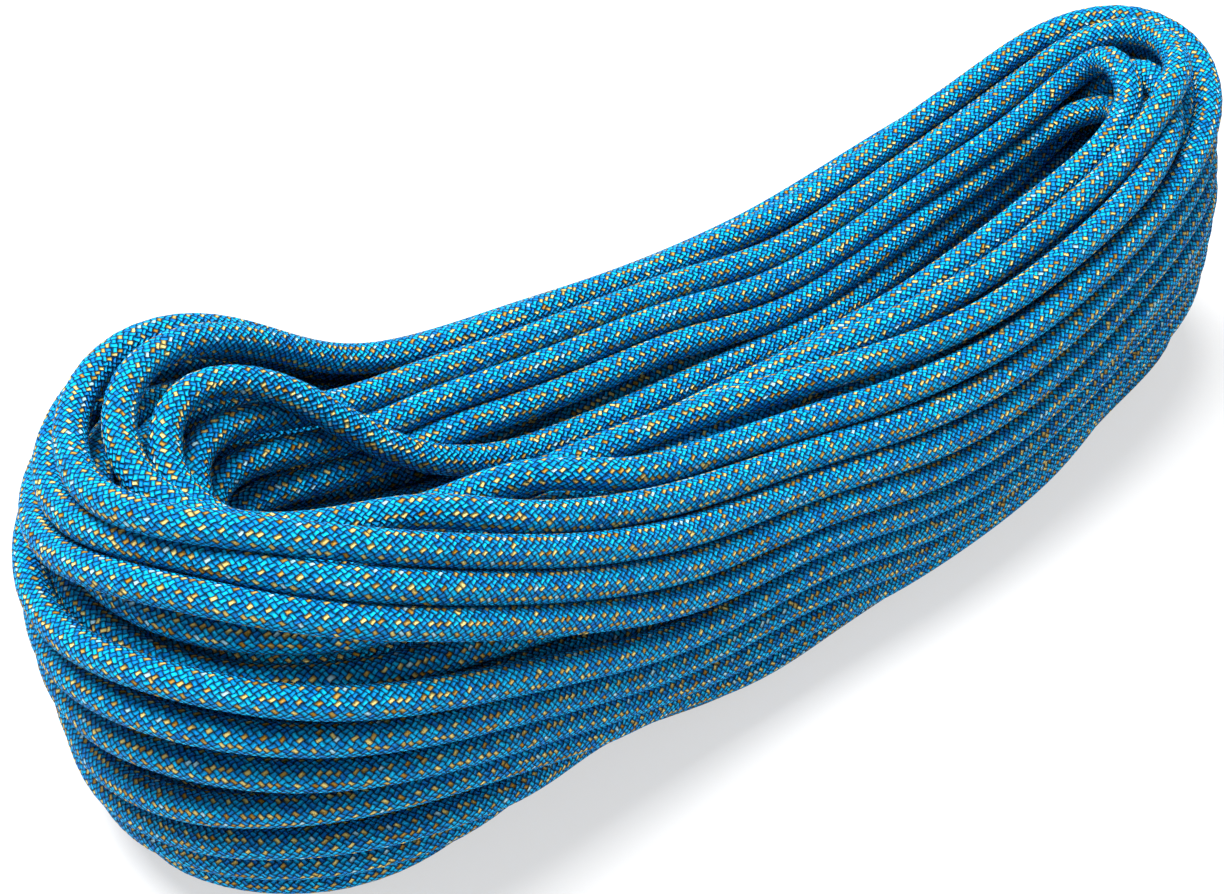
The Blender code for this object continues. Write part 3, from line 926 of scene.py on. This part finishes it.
FIBRE_COLOUR = (0.08, 0.50, 0.90)


def lump_height(along, across):
    """Rounded lump: 1 in its middle, 0 at its edges."""
    ends = (1 - along ** LUMP_END_POWER).most(0.0)
    return ends * (1 - across ** LUMP_SIDE_POWER).most(0.0)


def braid_material():
    """Sheath of round lumps where the yarns pass over each other, with dotted gold rows, and
    painted shade where the lumps fall away into the gaps.
    """
    look = Look("braided_sheath_look")
    rope_place = look.node("ShaderNodeUVMap", {"uv_map": "rope"}, {})
    along = look.node("ShaderNodeSeparateXYZ", {}, {0: rope_place}, "X")
    around = look.node("ShaderNodeSeparateXYZ", {}, {0: rope_place}, "Y")
    place = look.object_place()
    wobble_a, wobble_b = ((look.noise(place, scale, 1.0) - 0.5) * BRAID_WOBBLE
                          for scale in WOBBLE_SCALES)
    # the yarns that climb one way are numbered by first, the others by second
    steps = along / BRAID_PITCH
    yarns = around * BRAID_YARNS
    first = yarns + steps + wobble_a
    second = yarns - steps + wobble_b
    yarn_a, yarn_b = math.floor(first), math.floor(second)
    side_a = (first - yarn_a - 0.5) * 2.0
    side_b = (second - yarn_b - 0.5) * 2.0
    upper = (yarn_a + yarn_b) % 2.0 < 0.5
    length = upper.either(side_b, side_a)
    across = upper.either(side_a, side_b)
    # a lump reaches past its cell at both ends, into the room its neighbours leave
    own = lump_height(abs(length) / LUMP_LENGTH, abs(across) / LUMP_WIDTH)
    beside = lump_height((2 - abs(across)) / LUMP_LENGTH, abs(length) / LUMP_WIDTH)
    height = own.most(beside)
    onward = (beside > own) * ((across > 0.0) * 2.0 - 1)
    yarn_a += upper * onward
    yarn_b += (1 - upper) * onward
    row = (yarn_a + yarn_b) % (2.0 * BRAID_YARNS)
    step = yarn_a - yarn_b
    # colour of each lump
    chance = look.chance(row, step, COLOUR_DRAW)
    tone = look.chance(row, step, TONE_DRAW)
    gold_row = row % GOLD_ROWS < GOLD_ROW_WIDTH
    gold_step = math.floor(step / 2.0) % GOLD_STEPS < 0.5
    gold = gold_row * gold_step.either(GOLD_ON_STEP, GOLD_OFF_STEP) + GOLD_ANYWHERE
    pale = gold_row * (chance > 1 - PALE_CHANCE)
    colour = look.blend(gold > chance, look.ramp(tone, (0.0, DEEP_BLUE), (1.0, BRIGHT_BLUE)),
                        look.ramp(tone, (0.0, DARK_GOLD), (1.0, LIGHT_GOLD)))
    colour = look.blend(pale, colour, PALE_YARN)
    # painted shade: each lump darkens to near black blue towards its edges, where the gaps
    # between lumps lie
    colour = look.blend((height * GAP_SHADE_DEPTH).least(1.0), PAINTED_GAP_SHADE, colour)
    fibre = look.noise(place, FIBRE_SCALE, 2.0)
    colour = look.blend((fibre - 0.5).most(0.0) * FIBRE_SHARE, colour, FIBRE_COLOUR)
    look.put(look.shader.inputs["Base Color"], colour)
    look.put(look.shader.inputs["Roughness"], fibre * ROUGHNESS_RANGE + SHEATH_ROUGHNESS)
    look.put(look.shader.inputs["Specular IOR Level"], SHEATH_GLOSS)
    look.raise_surface(height + fibre * FIBRE_RELIEF, 1.0, LUMP_RELIEF)
    return look.material


# ---------------------------------------------------------------- ends of the rope
SLEEVE_BLACK = (0.012, 0.013, 0.015)
SLEEVE_WORN = (0.060, 0.062, 0.066)
SLEEVE_ROUGHNESS = 0.38
WRINKLE_SCALE = 420.0
WRINKLE_RELIEF = 0.0002
SCUFF_SCALE = 1500.0
SCUFF_LEVEL = 0.60            # level of the noise from which the film is scuffed
SCUFF_EDGE = 6.0              # how sharply the scuffs end
SCORCHED = (0.004, 0.020, 0.045)
MELTED_BLUE = (0.04, 0.20, 0.34)
SCORCH_SCALE = 230.0
SCORCH_LEVEL, CLEAN_LEVEL = 0.30, 0.75    # levels of the noise for the two colours
MELTED_ROUGHNESS = 0.15
MELTED_ROUGHNESS_RANGE = 0.30
FLOW_SCALE = 520.0
FLOW_RELIEF = 0.0004


def sleeve_material():
    """Shrunk tube: matt black film with fine wrinkles and scuffs."""
    look = Look("shrunk_sleeve_look")
    place = look.object_place()
    wrinkle = look.noise(place, WRINKLE_SCALE, 3.0)
    scuff = look.noise(place, SCUFF_SCALE, 2.0)
    worn = ((scuff - SCUFF_LEVEL) * SCUFF_EDGE).most(0.0).least(1.0)
    look.put(look.shader.inputs["Base Color"], look.blend(worn, SLEEVE_BLACK, SLEEVE_WORN))
    look.put(look.shader.inputs["Roughness"], wrinkle * ROUGHNESS_RANGE + SLEEVE_ROUGHNESS)
    look.raise_surface(wrinkle + scuff * 0.2, 0.6, WRINKLE_RELIEF)
    return look.material


def melted_material():
    """Melted end: blue nylon run together, darker where it was scorched."""
    look = Look("melted_tip_look")
    place = look.object_place()
    flow = look.noise(place, FLOW_SCALE, 3.0)
    scorch = look.noise(place, SCORCH_SCALE, 2.0)
    look.put(look.shader.inputs["Base Color"],
             look.ramp(scorch, (SCORCH_LEVEL, SCORCHED), (CLEAN_LEVEL, MELTED_BLUE)))
    look.put(look.shader.inputs["Roughness"], flow * MELTED_ROUGHNESS_RANGE + MELTED_ROUGHNESS)
    look.raise_surface(flow, 0.8, FLOW_RELIEF)
    return look.material


# ---------------------------------------------------------------- camera, floor and light
SENSOR_WIDTH = 36.0
FLOOR_REACH = 6.0
FLOOR_GREY = 0.86
FLOOR_ROUGHNESS = 0.9
FLOOR_PALENESS = 0.6          # how far the shadow on the floor is lightened
WORLD_STRENGTH = 0.33
LIT_POINT = (0.0, 0.0, 0.05)
WHITE = (1.0, 1.0, 1.0)


def make_camera(shift):
    """The camera of the photograph, moved with the hank to the part's frame."""
    data = bpy.data.cameras.new("camera")
    data.sensor_width = SENSOR_WIDTH
    data.lens = SENSOR_WIDTH * FOCAL_PIXELS / FRAME_WIDTH
    data.clip_start = 0.01
    data.clip_end = 50.0
    camera = bpy.data.objects.new("camera", data)
    turn = Matrix((CAMERA_RIGHT, CAMERA_UP, -CAMERA_FORWARD)).transposed()
    camera.matrix_world = Matrix.Translation(CAMERA_PLACE + shift) @ turn.to_4x4()
    bpy.context.scene.collection.objects.link(camera)
    bpy.context.scene.camera = camera


def make_light(name, place, size, power):
    """A round lamp that looks at the hank."""
    data = bpy.data.lights.new(name, "AREA")
    data.shape = "DISK"
    data.size = size
    data.energy = power
    item = bpy.data.objects.new(name, data)
    item.location = place
    way = Vector(LIT_POINT) - Vector(place)
    item.rotation_euler = way.to_track_quat("-Z", "Y").to_euler()
    bpy.context.scene.collection.objects.link(item)


def make_floor():
    """White floor with a light shadow, for the picture only."""
    mesh = bpy.data.meshes.new("floor")
    corners = [(-FLOOR_REACH, -FLOOR_REACH, 0.0), (FLOOR_REACH, -FLOOR_REACH, 0.0),
               (FLOOR_REACH, FLOOR_REACH, 0.0), (-FLOOR_REACH, FLOOR_REACH, 0.0)]
    mesh.from_pydata(corners, [], [(0, 1, 2, 3)])
    item = bpy.data.objects.new("floor", mesh)
    bpy.context.scene.collection.objects.link(item)
    look = Look("floor_look")
    look.put(look.shader.inputs["Base Color"], (FLOOR_GREY, FLOOR_GREY, FLOOR_GREY))
    look.put(look.shader.inputs["Roughness"], FLOOR_ROUGHNESS)
    # seen by the eye, the floor is paler than it lies in the light: the shadow stays, but light
    glow = look.node("ShaderNodeEmission", {}, {"Color": WHITE})
    seen = look.node("ShaderNodeLightPath", {}, {}, "Is Camera Ray")
    for kind in ("Is Glossy Ray", "Is Transmission Ray"):
        seen = seen.most(look.node("ShaderNodeLightPath", {}, {}, kind))
    lit = Wave(look, look.shader.outputs[0])
    surface = look.node("ShaderNodeMixShader", {}, {0: seen * FLOOR_PALENESS, 1: lit, 2: glow})
    look.put(look.tree.nodes["Material Output"].inputs["Surface"], surface)
    mesh.materials.append(look.material)


def make_world():
    """Plain white surroundings."""
    world = bpy.data.worlds.new("world")
    bpy.context.scene.world = world
    world.use_nodes = True
    back = world.node_tree.nodes["Background"]
    back.inputs["Color"].default_value = (*WHITE, 1.0)
    back.inputs["Strength"].default_value = WORLD_STRENGTH
    bpy.context.scene.view_settings.view_transform = "Standard"


# ---------------------------------------------------------------- the whole scene
SHIFT = part_shift()
make_camera(SHIFT)
ROUTE = ease_apart(rope_route() + SHIFT, FULL_ROUNDS)
rope = tube_mesh("rope", ROUTE, ROPE_RADIUS, TUBE_SIDES)
rope.data.materials.append(braid_material())
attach(rope, "root")
STRANDS = [f"core_strand_{side}_{number:02d}" for side in "ab" for number in range(1, 13)]
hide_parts("rope_outer_turns", "rope_inner_turns", "rope_end_a_sheath",
            "rope_end_b_sheath", *STRANDS)
SLEEVE_LOOK = sleeve_material()
MELTED_LOOK = melted_material()
for side in "ab":
    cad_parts[f"rope_end_{side}_sleeve"].material_slots[0].material = SLEEVE_LOOK
    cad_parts[f"rope_end_{side}_melted_tip"].material_slots[0].material = MELTED_LOOK
make_floor()
make_world()
make_light("key", place=(-0.28, 0.42, 2.0), size=1.2, power=100.0)
make_light("fill", place=(0.5, -1.3, 1.2), size=1.4, power=2.5)
